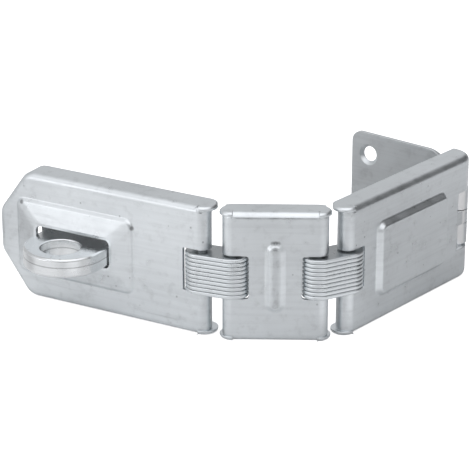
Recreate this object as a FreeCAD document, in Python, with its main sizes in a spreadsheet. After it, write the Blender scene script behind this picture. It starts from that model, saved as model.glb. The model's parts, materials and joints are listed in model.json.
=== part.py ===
import FreeCAD, Part
import math
import os
import Sketcher

Vector = FreeCAD.Vector

# A double-jointed padlock hasp of zinc-plated steel. Three pressed plates hang
# together on laminated links, so the hasp can pass round a corner. The left
# plate drops over a staple, and the right plate turns on a leaf that is screwed
# to the wall and that it hides when it is closed.
#
# Every piece is drawn as it is seen from its own front: x runs to the right,
# y runs back towards the wall and z runs up. The faces of the plates are at -y,
# and z = 0 is at half the plates' height.

# Driving sizes, in millimetres and degrees.
DRIVING = {
    # pressed steel sheet
    "plate_height": 45.0,
    "sheet_thickness": 1.5,
    "bend_radius": 2.4,
    "flange_depth": 8.6,
    "left_flange_depth": 9.4,
    # link pins and rolled barrels
    "pin_radius": 1.8,
    "barrel_clearance": 0.05,
    "barrel_end_gap": 0.4,
    "pin_end_gap": 0.1,
    # laminated links
    "link_pitch": 10.8,
    "link_radius": 5.45,
    "lamination_count": 10,
    "lamination_thickness": 1.4,
    "lamination_edge": 0.3,
    "lamination_clearance": 0.08,
    "notch_end_gap": 0.5,
    "notch_side_gap": 0.2,
    # left plate, with its tapered end and the boss round the slot
    "left_length": 78.2,
    "taper_length": 11.2,
    "tip_height": 14.6,
    "outline_corner": 6.0,
    "boss_end_gap": 8.0,
    "boss_side_border": 8.5,
    "boss_border": 8.35,
    "boss_corner": 3.0,
    "press_rounding": 0.8,
    "boss_wall_rise": 0.9,
    "boss_wall_run": 0.8,
    "boss_rise": 2.4,
    "boss_shoulder": 2.0,
    "slot_length": 29.0,
    "slot_height": 10.0,
    "slot_lift": 0.15,
    "slot_offset": 0.3,
    "slot_corner": 1.8,
    "slot_rim": 1.0,
    # middle plate, with its upright bead
    "middle_pitch": 27.8,
    "bead_width": 6.4,
    "bead_height": 24.5,
    "bead_rise": 1.0,
    "bead_run": 1.5,
    "bead_rounding": 1.0,
    # right plate, with its raised panel and rounded hinge end
    "right_pitch": 66.1,
    "hinge_end_reach": 3.3,
    "hinge_end_radius": 7.0,
    "flange_corner": 2.5,
    "panel_start": 11.6,
    "panel_length": 40.0,
    "panel_height": 26.6,
    "panel_corner": 3.5,
    "panel_rise": 1.8,
    "panel_run": 1.5,
    "panel_rounding": 1.2,
    # hinge between the right plate and the leaf
    "leaf_pin_radius": 2.0,
    "leaf_pin_clearance": 0.05,
    "hinge_height": 20.2,
    "hinge_drop": 0.6,
    "middle_knuckle": 4.8,
    "knuckle_gap": 0.15,
    "knuckle_clearance": 0.08,
    "hinge_window_gap": 0.4,
    "hinge_window_reach": 7.4,
    "strap_length": 7.5,
    "strap_cover": 1.6,
    # mounting leaf
    "leaf_length": 47.7,
    "leaf_clearance": 1.4,
    "leaf_corner": 4.0,
    "leaf_shoulder": 5.8,
    "leaf_shoulder_corner": 9.2,
    "leaf_hole_inset": 11.4,
    "leaf_hole_pitch_x": 29.0,
    "leaf_hole_pitch_z": 23.2,
    "leaf_hole_radius": 2.7,
    "leaf_sink_radius": 3.9,
    # staple
    "eye_side_gap": 0.4,
    "eye_reach": 13.25,
    "eye_bore_reach": 16.05,
    "eye_bore_radius": 6.8,
    "eye_thickness": 6.6,
    "eye_drop": 0.65,
    "eye_edge": 1.0,
    "eye_bore_edge": 0.5,
    "base_thickness": 2.5,
    "base_corner": 3.0,
    "base_clearance": 0.2,
    "base_end_gap": 1.5,
    "base_hole_inset": 5.8,
    "base_hole_radius": 2.4,
    "base_sink_radius": 4.2,
    "tenon_radius": 2.0,
    "tenon_pitch": 15.0,
    "tenon_clearance": 0.05,
    # how the hasp stands: how far the left plate has slid up on its link, and how
    # far each joint is folded back from straight
    "left_rise": 0.35,
    "leaf_fold": 90.0,
    "right_link_fold": 22.0,
    "middle_fold": 29.7,
    "left_link_fold": 20.0,
    "left_fold": 8.0,
}


def derived_sizes(size):
    """Sizes of what fits in, round or against another piece."""
    more = {}
    sheet_gap = size["sheet_thickness"]
    more["half_height"] = size["plate_height"] / 2
    more["inner_half_height"] = more["half_height"] - sheet_gap
    more["inner_height"] = 2 * more["inner_half_height"]
    more["barrel_bore"] = size["pin_radius"] + size["barrel_clearance"]
    more["barrel_radius"] = more["barrel_bore"] + sheet_gap
    more["barrel_length"] = more["inner_height"] - 2 * size["barrel_end_gap"]
    more["pin_length"] = more["inner_height"] - 2 * size["pin_end_gap"]
    more["stack_height"] = size["lamination_count"] * size["lamination_thickness"]
    more["notch_height"] = more["stack_height"] + 2 * size["notch_end_gap"]
    notch_sweep = size["link_radius"] + size["notch_side_gap"]
    more["notch_reach"] = math.sqrt(notch_sweep**2 - more["barrel_bore"] ** 2)
    more["lamination_bore"] = size["pin_radius"] + size["lamination_clearance"]
    more["back_depth"] = size["flange_depth"] - more["barrel_radius"]
    more["left_back_depth"] = size["left_flange_depth"] - more["barrel_radius"]
    more["right_length"] = size["right_pitch"] + size["hinge_end_reach"]
    more["leaf_bore"] = size["leaf_pin_radius"] + size["leaf_pin_clearance"]
    more["knuckle_radius"] = more["leaf_bore"] + sheet_gap
    more["knuckle_bore"] = size["leaf_pin_radius"] + size["knuckle_clearance"]
    more["hinge_depth"] = more["knuckle_radius"] + sheet_gap - more["barrel_radius"]
    more["outer_knuckle"] = (size["hinge_height"] - size["middle_knuckle"]) / 2 - size["knuckle_gap"]
    more["window_height"] = size["hinge_height"] + 2 * size["hinge_window_gap"]
    more["window_start"] = size["right_pitch"] - size["hinge_window_reach"]
    more["strap_end"] = more["window_start"] + size["strap_cover"]
    more["leaf_axis"] = size["leaf_hole_inset"] + size["leaf_hole_pitch_x"] / 2
    more["leaf_height"] = more["inner_height"] - 2 * size["leaf_clearance"]
    more["leaf_hole_diameter"] = 2 * size["leaf_hole_radius"]
    more["leaf_sink_diameter"] = 2 * size["leaf_sink_radius"]
    more["boss_length"] = size["slot_length"] + 2 * size["boss_side_border"]
    more["boss_height"] = size["slot_height"] + 2 * size["boss_border"]
    boss_end = size["left_length"] - size["boss_end_gap"]
    more["boss_distance"] = boss_end - more["boss_length"] / 2
    more["eye_distance"] = more["boss_distance"] - size["slot_offset"]
    more["base_hole_diameter"] = 2 * size["base_hole_radius"]
    more["base_sink_diameter"] = 2 * size["base_sink_radius"]
    taper_start = size["left_length"] - size["taper_length"]
    more["base_half_length"] = taper_start - more["eye_distance"] - size["base_end_gap"]
    more["base_height"] = more["inner_height"] - size["base_clearance"]
    more["base_front"] = more["left_back_depth"] - size["base_thickness"]
    more["eye_radius"] = size["slot_length"] / 2 - size["eye_side_gap"]
    more["eye_depth"] = more["base_front"] - size["eye_reach"]
    more["eye_bore_depth"] = more["base_front"] - size["eye_bore_reach"]
    more["tenon_hole_radius"] = size["tenon_radius"] + size["tenon_clearance"]
    return more


doc = FreeCAD.newDocument("hasp")
sheet = doc.addObject("Spreadsheet::Sheet", "sizes")
size = dict(DRIVING)
size.update(derived_sizes(size))
for row, (name, value) in enumerate(size.items(), start=1):
    sheet.set("A%d" % row, name)
    sheet.set("B%d" % row, str(value))
    sheet.setAlias("B%d" % row, name)
doc.recompute()


def number(value):
    """A size by its name, with a minus sign in front where it is taken below zero."""
    if not isinstance(value, str):
        return value
    if value.startswith("-"):
        return -size[value[1:]]
    return size[value]


def bind(target, field, value):
    """Ties a field of an object to a named size, or sets a bare number."""
    if isinstance(value, str):
        sign = "-" if value.startswith("-") else ""
        target.setExpression(field, "%ssizes.%s" % (sign, value.lstrip("-")))
    else:
        setattr(target, field, value)


def near(first, second):
    return abs(first - second) < 1e-4


def new_body(name):
    body = doc.addObject("PartDesign::Body", name)
    body.Label = name
    return body


def new_sketch(body, name, plane, lift=0.0):
    """An empty sketch on one of the body's own planes, lifted along its normal,
    which is +z for XY_Plane and -y for XZ_Plane."""
    sketch = body.newObject("Sketcher::SketchObject", name)
    support = [item for item in body.Origin.OriginFeatures if item.Role == plane][0]
    sketch.AttachmentSupport = [(support, "")]
    sketch.MapMode = "FlatFace"
    if isinstance(lift, str):
        bind(sketch, "AttachmentOffset.Base.z", lift)
    else:
        sketch.AttachmentOffset = FreeCAD.Placement(Vector(0, 0, lift), FreeCAD.Rotation())
    return sketch


def add_circle(sketch, x, y, radius):
    """A circle whose radius follows a named size."""
    circle = Part.Circle(Vector(x, y, 0), Vector(0, 0, 1), number(radius))
    index = sketch.addGeometry(circle)
    rule = sketch.addConstraint(Sketcher.Constraint("Radius", index, number(radius)))
    if isinstance(radius, str):
        bind(sketch, "Constraints[%d]" % rule, radius)


def add_outline(sketch, corners):
    """A closed outline of straight runs. Each corner is (x, y, rounding)."""
    starts = []
    ends = []
    arcs = []
    for i, (x, y, rounding) in enumerate(corners):
        here = Vector(x, y, 0)
        last_corner = corners[i - 1]
        next_corner = corners[(i + 1) % len(corners)]
        before = Vector(last_corner[0], last_corner[1], 0) - here
        after = Vector(next_corner[0], next_corner[1], 0) - here
        before.normalize()
        after.normalize()
        half_angle = before.getAngle(after) / 2
        setback = rounding / math.tan(half_angle)
        first = here + before * setback
        last = here + after * setback
        ends.append(first)
        starts.append(last)
        if rounding:
            inward = before + after
            inward.normalize()
            centre = here + inward * (rounding / math.sin(half_angle))
            arcs.append(Part.Arc(first, centre - inward * rounding, last))
    for i, start in enumerate(starts):
        end = ends[(i + 1) % len(ends)]
        if start.distanceToPoint(end) > 1e-6:
            sketch.addGeometry(Part.LineSegment(start, end))
    for arc in arcs:
        sketch.addGeometry(arc)


def rectangle(x, y, width, height, rounding):
    """The corners of a rectangle round a centre."""
    left = x - width / 2
    right = x + width / 2
    bottom = y - height / 2
    top = y + height / 2
    return [
        (left, bottom, rounding),
        (right, bottom, rounding),
        (right, top, rounding),
        (left, top, rounding),
    ]


def pad(body, sketch, name, length, both_ways=False, backwards=False):
    feature = body.newObject("PartDesign::Pad", name)
    feature.Profile = sketch
    feature.Midplane = both_ways
    feature.Reversed = backwards
    bind(feature, "Length", length)
    doc.recompute()
    return feature


def pocket(body, sketch, name, length, both_ways=False, backwards=False):
    """A cut, which must take some of the body away."""
    before = body.Shape.Volume
    feature = body.newObject("PartDesign::Pocket", name)
    feature.Profile = sketch
    feature.Midplane = both_ways
    feature.Reversed = backwards
    bind(feature, "Length", length)
    doc.recompute()
    if not body.Shape.Volume < before - 0.001:
        raise RuntimeError("%s of %s cuts nothing" % (name, body.Label))
    return feature


def screw_holes(body, name, centres, front, hole, sink):
    """Countersunk holes that open to the front, where the front is a lift."""
    doc.recompute()
    before = body.Shape.Volume
    points = new_sketch(body, name + "_centres", "XZ_Plane", front)
    for x, z in centres:
        add_circle(points, x, z, number(hole) / 2)
    feature = body.newObject("PartDesign::Hole", name)
    feature.Profile = points
    doc.recompute()
    feature.DepthType = "ThroughAll"
    bind(feature, "Diameter", hole)
    feature.HoleCutType = "Countersink"
    feature.HoleCutCustomValues = True
    bind(feature, "HoleCutDiameter", sink)
    feature.HoleCutCountersinkAngle = 90
    doc.recompute()
    if not body.Shape.Volume < before - 1:
        raise RuntimeError("%s of %s cut nothing" % (name, body.Label))


def loft(body, kind, name, sections):
    feature = body.newObject("PartDesign::" + kind, name)
    feature.Profile = sections[0]
    feature.Sections = sections[1:]
    feature.Ruled = True
    doc.recompute()
    return feature


def round_edges(body, name, radius, chosen):
    """Rounds the edges that the test accepts by their middle point."""
    base = body.Tip
    names = []
    for index, edge in enumerate(base.Shape.Edges, start=1):
        middle = edge.valueAt((edge.FirstParameter + edge.LastParameter) / 2)
        if chosen(edge, middle):
            names.append("Edge%d" % index)
    feature = body.newObject("PartDesign::Fillet", name)
    feature.Base = (base, names)
    bind(feature, "Radius", radius)
    doc.recompute()
    return feature


def add_blank(body, corners, flange_depth):
    """The block that a plate is pressed from: its outline from face to flange edge."""
    face = new_sketch(body, "face_outline", "XZ_Plane", "barrel_radius")
    add_outline(face, corners)
    pad(body, face, "blank", flange_depth, backwards=True)


def bend_front(body, open_ends):
    """The bend between the face and the flanges, but not at a barrel's end."""

    def on_bend(edge, middle):
        at_open_end = any(near(middle.x, x) for x in open_ends)
        return near(middle.y, -size["barrel_radius"]) and not at_open_end

    round_edges(body, "front_bend", "bend_radius", on_bend)


def add_barrel(body, name, x):
    """The end of the face rolled round a link pin, short of the flanges."""
    ring = new_sketch(body, name + "_section", "XY_Plane")
    add_circle(ring, x, 0, "barrel_radius")
    add_circle(ring, x, 0, "barrel_bore")
    pad(body, ring, name, "barrel_length", both_ways=True)


def add_ears(body, name, x, side, flange_depth, back_depth):
    """The rounded ends of both flanges, which reach past the barrel and keep the
    pin in. The side is -1 on a left end and 1 on a right end."""
    radius = number(flange_depth) / 2
    centre = number(back_depth) - radius
    for level, lift in (("upper", "inner_half_height"), ("lower", "-half_height")):
        ear = new_sketch(body, "%s_%s_outline" % (level, name), "XY_Plane", lift)
        back = Vector(x, centre + radius, 0)
        tip = Vector(x + side * radius, centre, 0)
        front = Vector(x, centre - radius, 0)
        ear.addGeometry(Part.Arc(back, tip, front))
        ear.addGeometry(Part.LineSegment(front, back))
        pad(body, ear, "%s_%s" % (level, name), "sheet_thickness")


def cut_notch(body, name, x, side):
    """The notch in the face and its barrel where a laminated link swings."""
    notch = new_sketch(body, name + "_outline", "XZ_Plane")
    inner = x - side * size["notch_reach"]
    outer = x + side * (size["barrel_radius"] + 1)
    middle = (inner + outer) / 2
    add_outline(notch, rectangle(middle, 0, abs(outer - inner), size["notch_height"], 0))
    pocket(body, notch, name, "plate_height", both_ways=True)


def press_out(body, name, steps):
    """A form pressed out of the face and hollow behind. Each step is the depth in
    front of the face, the outline there and the rounding of its front edge, from
    the face outwards."""
    kinds = (("AdditiveLoft", "front", 0.0), ("SubtractiveLoft", "back", size["sheet_thickness"]))
    for kind, side, thinner in kinds:
        for i in range(len(steps) - 1):
            sections = []
            for rise, corners, _ in steps[i : i + 2]:
                label = "%s_%s_%d_%d" % (name, side, i, len(sections))
                lift = size["barrel_radius"] + rise - thinner
                section = new_sketch(body, label, "XZ_Plane", lift)
                add_outline(section, corners)
                sections.append(section)
            loft(body, kind, "%s_%s_%d" % (name, side, i), sections)
    for i, (rise, corners, rounding) in enumerate(steps):
        left = min(corner[0] for corner in corners) - 0.01
        right = max(corner[0] for corner in corners) + 0.01
        depth = -size["barrel_radius"] - rise

        def on_step(edge, middle):
            return near(middle.y, depth) and left < middle.x < right

        round_edges(body, "%s_rounding_%d" % (name, i), rounding, on_step)


def tapered_outline(wall):
    """The left plate's outline, drawn in from the real one by a wall."""
    half = size["half_height"]
    tip = size["tip_height"] / 2
    end = -size["left_length"]
    slope = math.atan2(half - tip, size["taper_length"])
    taper = end + size["taper_length"] + wall * math.tan(slope / 2)
    tip = tip - wall * math.tan((math.pi / 2 - slope) / 2)
    half = half - wall
    end = end + wall
    corner = size["outline_corner"] - wall
    open_end = 1.0 if wall else 0.0
    return [
        (open_end, -half, 0),
        (open_end, half, 0),
        (taper, half, corner),
        (end, tip, corner),
        (end, -tip, corner),
        (taper, -half, corner),
    ]


def make_left_plate():
    """The plate that drops over the staple. It has flanges all round its tapered
    end, and a boss round the slot that the eye comes through."""
    body = new_body("left_plate")
    add_blank(body, tapered_outline(0), "left_flange_depth")
    bend_front(body, (0,))
    hollow = new_sketch(body, "hollow_outline", "XZ_Plane", "-left_back_depth")
    add_outline(hollow, tapered_outline(size["sheet_thickness"]))
    depth = size["left_flange_depth"] - size["sheet_thickness"]
    pocket(body, hollow, "hollow", depth, backwards=True)

    x = -size["boss_distance"]
    run = size["boss_wall_run"]
    length = size["boss_length"]
    height = size["boss_height"]
    corner = size["boss_corner"]
    slot_x = -size["eye_distance"]
    slot_z = size["slot_lift"]
    rim_length = size["slot_length"] + 2 * size["slot_rim"]
    rim_height = size["slot_height"] + 2 * size["slot_rim"]
    rim_corner = size["slot_corner"] + size["slot_rim"]
    foot = rectangle(x, 0, length, height, corner)
    wall_top = rectangle(x, 0, length - 2 * run, height - 2 * run, corner - run)
    rim = rectangle(slot_x, slot_z, rim_length, rim_height, rim_corner)
    steps = [
        (0, foot, "press_rounding"),
        (size["boss_wall_rise"], wall_top, "boss_shoulder"),
        (size["boss_rise"], rim, "press_rounding"),
    ]
    press_out(body, "boss", steps)
    slot = new_sketch(body, "slot_outline", "XZ_Plane")
    slot_length = size["slot_length"]
    slot_corner = size["slot_corner"]
    add_outline(slot, rectangle(slot_x, slot_z, slot_length, size["slot_height"], slot_corner))
    pocket(body, slot, "slot", "plate_height", both_ways=True)

    add_ears(body, "ear", 0, 1, "left_flange_depth", "left_back_depth")
    add_barrel(body, "barrel", 0)
    cut_notch(body, "notch", 0, 1)
    return body


def make_middle_plate():
    """The short plate between the two links, stiffened by an upright bead."""
    body = new_body("middle_plate")
    pitch = size["middle_pitch"]
    add_blank(body, rectangle(pitch / 2, 0, pitch, size["plate_height"], 0), "flange_depth")
    bend_front(body, (0, pitch))
    hollow = new_sketch(body, "hollow_outline", "XZ_Plane", "-back_depth")
    add_outline(hollow, rectangle(pitch / 2, 0, pitch + 2, size["inner_height"], 0))
    depth = size["flange_depth"] - size["sheet_thickness"]
    pocket(body, hollow, "hollow", depth, backwards=True)

    run = size["bead_run"]
    width = size["bead_width"]
    height = size["bead_height"]
    crest_width = width - 2 * run
    foot = rectangle(pitch / 2, 0, width, height, width / 2)
    crest = rectangle(pitch / 2, 0, crest_width, height - 2 * run, crest_width / 2)
    rounding = "bead_rounding"
    press_out(body, "bead", [(0, foot, rounding), (size["bead_rise"], crest, rounding)])

    for name, x, side in (("left", 0, -1), ("right", pitch, 1)):
        add_ears(body, name + "_ear", x, side, "flange_depth", "back_depth")
        add_barrel(body, name + "_barrel", x)
        cut_notch(body, name + "_notch", x, side)
    return body


def make_right_plate():
    """The plate that turns on the leaf. Its face has a raised panel, and its right
    end is bent back in a wide curve with a window for the hinge."""
    body = new_body("right_plate")
    length = size["right_length"]
    half = size["half_height"]
    front = -size["barrel_radius"]
    back = size["back_depth"]
    wall = size["sheet_thickness"]
    wide = size["hinge_end_radius"]
    add_blank(body, rectangle(length / 2, 0, length, size["plate_height"], 0), "flange_depth")

    def at_hinge_end(edge, middle):
        return near(middle.x, length) and near(middle.y, front)

    def on_bend(edge, middle):
        behind = near(middle.y, back)
        at_barrel = near(middle.x, 0)
        return near(abs(middle.z), half) and not behind and not at_barrel

    round_edges(body, "hinge_end_bend", "hinge_end_radius", at_hinge_end)
    round_edges(body, "front_bend", "bend_radius", on_bend)

    # the hollow follows the wide curve one sheet thickness inside it
    hollow = new_sketch(body, "hollow_outline", "XY_Plane")
    corners = [
        (-1, front + wall, 0),
        (length - wall, front + wall, wide - wall),
        (length - wall, back + 1, 0),
        (-1, back + 1, 0),
    ]
    add_outline(hollow, corners)
    pocket(body, hollow, "hollow", "inner_height", both_ways=True)

    # the flanges' back corners at the hinge end are rounded off
    rounding = size["flange_corner"]
    centre = Vector(length - rounding, back - rounding, 0)
    diagonal = Vector(1, 1, 0)
    diagonal.normalize()
    behind = centre + Vector(0, rounding, 0)
    beside = centre + Vector(rounding, 0, 0)
    outside = Vector(length + 1, back + 1, 0)
    corner = new_sketch(body, "flange_corner_outline", "XY_Plane")
    corner.addGeometry(Part.Arc(behind, centre + diagonal * rounding, beside))
    corner.addGeometry(Part.LineSegment(beside, Vector(outside.x, beside.y, 0)))
    corner.addGeometry(Part.LineSegment(Vector(outside.x, beside.y, 0), outside))
    corner.addGeometry(Part.LineSegment(outside, Vector(behind.x, outside.y, 0)))
    corner.addGeometry(Part.LineSegment(Vector(behind.x, outside.y, 0), behind))
    pocket(body, corner, "flange_corners", 2 * size["plate_height"], both_ways=True)

    run = size["panel_run"]
    x = size["panel_start"] + size["panel_length"] / 2
    width = size["panel_length"]
    height = size["panel_height"]
    corner = size["panel_corner"]
    foot = rectangle(x, 0, width, height, corner)
    top = rectangle(x, 0, width - 2 * run, height - 2 * run, corner - run)
    rounding = "panel_rounding"
    press_out(body, "panel", [(0, foot, rounding), (size["panel_rise"], top, rounding)])

    window = new_sketch(body, "window_outline", "XZ_Plane")
    start = size["window_start"]
    reach = length + 1 - start
    middle = -size["hinge_drop"]
    add_outline(window, rectangle(start + reach / 2, middle, reach, size["window_height"], 0))
    pocket(body, window, "window", "plate_height", both_ways=True)

    add_ears(body, "ear", 0, -1, "flange_depth", "back_depth")
    add_barrel(body, "barrel", 0)
    cut_notch(body, "notch", 0, -1)
    return body


def add_knuckle(body, name, x, y, lift, height, bore):
    """A length of sheet rolled round the hinge pin, and its way for the pin."""
    ring = new_sketch(body, name + "_section", "XY_Plane", lift)
    add_circle(ring, x, y, "knuckle_radius")
    add_circle(ring, x, y, bore)
    pad(body, ring, name, height)


def make_hinge_strap():
    """A strap welded inside the right plate, with the hinge's middle knuckle."""
    body = new_body("hinge_strap")
    x = size["right_pitch"]
    y = size["hinge_depth"]
    middle = -size["hinge_drop"]
    end = size["strap_end"]
    start = end - size["strap_length"]
    tongue = size["middle_knuckle"] / 2
    half = size["hinge_height"] / 2
    lift = size["barrel_radius"] - size["sheet_thickness"]
    strap = new_sketch(body, "strap_outline", "XZ_Plane", lift)
    corners = [
        (start, middle - half, 1.5),
        (end, middle - half, 0.5),
        (end, middle - tongue, 0),
        (x, middle - tongue, 0),
        (x, middle + tongue, 0),
        (end, middle + tongue, 0),
        (end, middle + half, 0.5),
        (start, middle + half, 1.5),
    ]
    add_outline(strap, corners)
    pad(body, strap, "strap", "sheet_thickness", backwards=True)
    add_knuckle(body, "knuckle", x, y, middle - tongue, "middle_knuckle", "knuckle_bore")
    bore = new_sketch(body, "bore_section", "XY_Plane", middle)
    add_circle(bore, x, y, "knuckle_bore")
    pocket(body, bore, "bore", "hinge_height", both_ways=True)
    return body


def make_mounting_leaf():
    """The leaf that is screwed to the wall. It narrows to a tongue, whose end is
    rolled into the hinge's upper and lower knuckles. Its back is at y = 0, and the
    middle of its screw holes is on the z axis."""
    body = new_body("mounting_leaf")
    x = size["leaf_axis"]
    y = -size["knuckle_radius"]
    left = x - size["leaf_length"]
    half = size["leaf_height"] / 2
    middle = -size["hinge_drop"]
    tongue = size["hinge_height"] / 2
    shoulder = x - size["leaf_shoulder"]
    slot_half = size["middle_knuckle"] / 2 + size["knuckle_gap"]
    slot_start = x - size["knuckle_radius"] - size["knuckle_gap"]
    corner = size["leaf_corner"]
    wide = size["leaf_shoulder_corner"]
    leaf = new_sketch(body, "leaf_outline", "XZ_Plane")
    corners = [
        (left, -half, corner),
        (shoulder, -half, wide),
        (shoulder, middle - tongue, 0),
        (x, middle - tongue, 0),
        (x, middle - slot_half, 0),
        (slot_start, middle - slot_half, 0),
        (slot_start, middle + slot_half, 0),
        (x, middle + slot_half, 0),
        (x, middle + tongue, 0),
        (shoulder, middle + tongue, 0),
        (shoulder, half, wide),
        (left, half, corner),
    ]
    add_outline(leaf, corners)
    pad(body, leaf, "leaf", "sheet_thickness")
    for name, lift in (("lower_knuckle", middle - tongue), ("upper_knuckle", middle + slot_half)):
        add_knuckle(body, name, x, y, lift, "outer_knuckle", "leaf_bore")
    centres = []
    for column in (-1, 1):
        for row in (-1, 1):
            hole_x = column * size["leaf_hole_pitch_x"] / 2
            centres.append((hole_x, row * size["leaf_hole_pitch_z"] / 2))
    hole = "leaf_hole_diameter"
    screw_holes(body, "screw_holes", centres, "sheet_thickness", hole, "leaf_sink_diameter")
    return body


def make_pin(name, radius, length):
    pin = doc.addObject("Part::Cylinder", name)
    pin.Label = name
    bind(pin, "Radius", radius)
    bind(pin, "Height", length)
    return pin


def make_lamination(name):
    """One of the stacked plates of a link: two round ends and two pin holes. Its
    left pin hole is on the z axis, and its edges are eased by the punch."""
    body = new_body(name)
    radius = size["link_radius"]
    pitch = size["link_pitch"]
    outline = new_sketch(body, "outline", "XY_Plane")
    left_end = (Vector(0, radius, 0), Vector(-radius, 0, 0), Vector(0, -radius, 0))
    right_end = (
        Vector(pitch, -radius, 0),
        Vector(pitch + radius, 0, 0),
        Vector(pitch, radius, 0),
    )
    outline.addGeometry(Part.Arc(*left_end))
    outline.addGeometry(Part.LineSegment(left_end[2], right_end[0]))
    outline.addGeometry(Part.Arc(*right_end))
    outline.addGeometry(Part.LineSegment(right_end[2], left_end[0]))
    add_circle(outline, 0, 0, "lamination_bore")
    add_circle(outline, pitch, 0, "lamination_bore")
    pad(body, outline, "blank", "lamination_thickness")

    base = body.Tip
    names = []
    for index, edge in enumerate(base.Shape.Edges, start=1):
        flat = edge.BoundBox.ZLength < 1e-6
        if flat and not edge.isClosed():
            names.append("Edge%d" % index)
    ease = body.newObject("PartDesign::Chamfer", "edges")
    ease.Base = (base, names)
    bind(ease, "Size", "lamination_edge")
    doc.recompute()
    return body


def make_staple_eye():
    """The thick eye for the padlock's shackle, with two tenons for its base. Its
    bore is further out than the middle of its rounded nose."""
    body = new_body("staple_eye")
    x = -size["eye_distance"]
    radius = size["eye_radius"]
    centre = size["eye_depth"]
    root = size["base_front"]
    level = -size["eye_drop"]
    eye = new_sketch(body, "eye_outline", "XY_Plane", "-eye_drop")
    right = Vector(x + radius, centre, 0)
    front = Vector(x, centre - radius, 0)
    left = Vector(x - radius, centre, 0)
    left_root = Vector(x - radius, root, 0)
    right_root = Vector(x + radius, root, 0)
    eye.addGeometry(Part.Arc(right, front, left))
    eye.addGeometry(Part.LineSegment(left, left_root))
    eye.addGeometry(Part.LineSegment(left_root, right_root))
    eye.addGeometry(Part.LineSegment(right_root, right))
    add_circle(eye, x, size["eye_bore_depth"], "eye_bore_radius")
    pad(body, eye, "eye", "eye_thickness", both_ways=True)
    face = size["eye_thickness"] / 2

    def on_rim(edge, middle):
        at_face = near(abs(middle.z - level), face)
        return at_face and middle.y < root - 0.01 and not edge.isClosed()

    def on_bore(edge, middle):
        return near(abs(middle.z - level), face) and edge.isClosed()

    round_edges(body, "rims", "eye_edge", on_rim)
    round_edges(body, "bore_rims", "eye_bore_edge", on_bore)
    tenons = new_sketch(body, "tenon_sections", "XZ_Plane", "-base_front")
    for side in (-1, 1):
        add_circle(tenons, x + side * size["tenon_pitch"] / 2, level, "tenon_radius")
    pad(body, tenons, "tenons", "base_thickness", backwards=True)
    return body


def make_staple_base():
    """The hidden plate that the eye is riveted to. It stands on the left plate's
    lower flange, lies flush with the plate's back and ends before its taper."""
    body = new_body("staple_base")
    x = -size["eye_distance"]
    half_length = size["base_half_length"]
    height = size["base_height"]
    middle = height / 2 - size["inner_half_height"]
    inset = size["base_hole_inset"]
    base = new_sketch(body, "base_outline", "XZ_Plane", "-left_back_depth")
    add_outline(base, rectangle(x, middle, 2 * half_length, height, size["base_corner"]))
    centres = []
    for side in (-1, 1):
        tenon_x = x + side * size["tenon_pitch"] / 2
        add_circle(base, tenon_x, -size["eye_drop"], "tenon_hole_radius")
        for row in (-1, 1):
            hole_x = x + side * (half_length - inset)
            centres.append((hole_x, middle + row * (height / 2 - inset)))
    pad(body, base, "base", "base_thickness")
    hole = "base_hole_diameter"
    screw_holes(body, "screw_holes", centres, "-base_front", hole, "base_sink_diameter")
    return body


def run_along(origin, angle, x, y=0.0):
    """The place of a point (x, y) of a piece that stands at an origin and is turned
    by an angle about the upright."""
    return origin + FreeCAD.Rotation(Vector(0, 0, 1), angle).multVec(Vector(x, y, 0))


# Where the pieces stand: from the leaf, which lies flat against the wall, each
# joint is folded back from straight. The pins are counted from the left.
right_angle = size["leaf_fold"]
right_link_angle = right_angle - size["right_link_fold"]
middle_angle = right_link_angle - size["middle_fold"]
left_link_angle = middle_angle - size["left_link_fold"]
left_angle = left_link_angle - size["left_fold"]

hinge_axis = Vector(size["leaf_axis"], -size["knuckle_radius"], 0)
pin_4 = run_along(hinge_axis, right_angle, -size["right_pitch"], -size["hinge_depth"])
pin_3 = run_along(pin_4, right_link_angle, -size["link_pitch"])
pin_2 = run_along(pin_3, middle_angle, -size["middle_pitch"])
pin_1 = run_along(pin_2, left_link_angle, -size["link_pitch"])

pieces = []


def place(piece, origin, angle=0.0, height=0.0):
    turn = FreeCAD.Rotation(Vector(0, 0, 1), angle)
    piece.Placement = FreeCAD.Placement(origin + Vector(0, 0, height), turn)
    pieces.append(piece)


place(make_mounting_leaf(), Vector(0, 0, 0))
leaf_pin = make_pin("leaf_pin", "leaf_pin_radius", "hinge_height")
place(leaf_pin, hinge_axis, 0, -size["hinge_drop"] - size["hinge_height"] / 2)
place(make_right_plate(), pin_4, right_angle)
place(make_hinge_strap(), pin_4, right_angle)
place(make_middle_plate(), pin_2, middle_angle)
place(make_left_plate(), pin_1, left_angle, size["left_rise"])
place(make_staple_eye(), pin_1, left_angle, size["left_rise"])
place(make_staple_base(), pin_1, left_angle, size["left_rise"])
pins = ((pin_1, size["left_rise"]), (pin_2, 0), (pin_3, 0), (pin_4, 0))
for count, (origin, rise) in enumerate(pins, start=1):
    link_pin = make_pin("link_pin_%d" % count, "pin_radius", "pin_length")
    place(link_pin, origin, 0, rise - size["pin_length"] / 2)
links = (("left", pin_1, left_link_angle), ("right", pin_3, right_link_angle))
for side, origin, angle in links:
    for level in range(size["lamination_count"]):
        lamination = make_lamination("%s_link_plate_%02d" % (side, level + 1))
        height = level * size["lamination_thickness"] - size["stack_height"] / 2
        place(lamination, origin, angle, height)

doc.recompute()
for item in doc.Objects:
    if "Invalid" in item.State or "Error" in item.State:
        raise RuntimeError("%s is %s" % (item.Name, item.State))
for piece in pieces:
    shape = piece.Shape
    if shape.isNull() or not shape.isValid() or not shape.Solids:
        raise RuntimeError("%s has no valid solid" % piece.Label)

os.makedirs("parts", exist_ok=True)
for piece in pieces:
    piece.Shape.exportStep("parts/%s.step" % piece.Label)
    print(piece.Label, len(piece.Shape.Solids), round(piece.Shape.Volume, 2))
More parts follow.
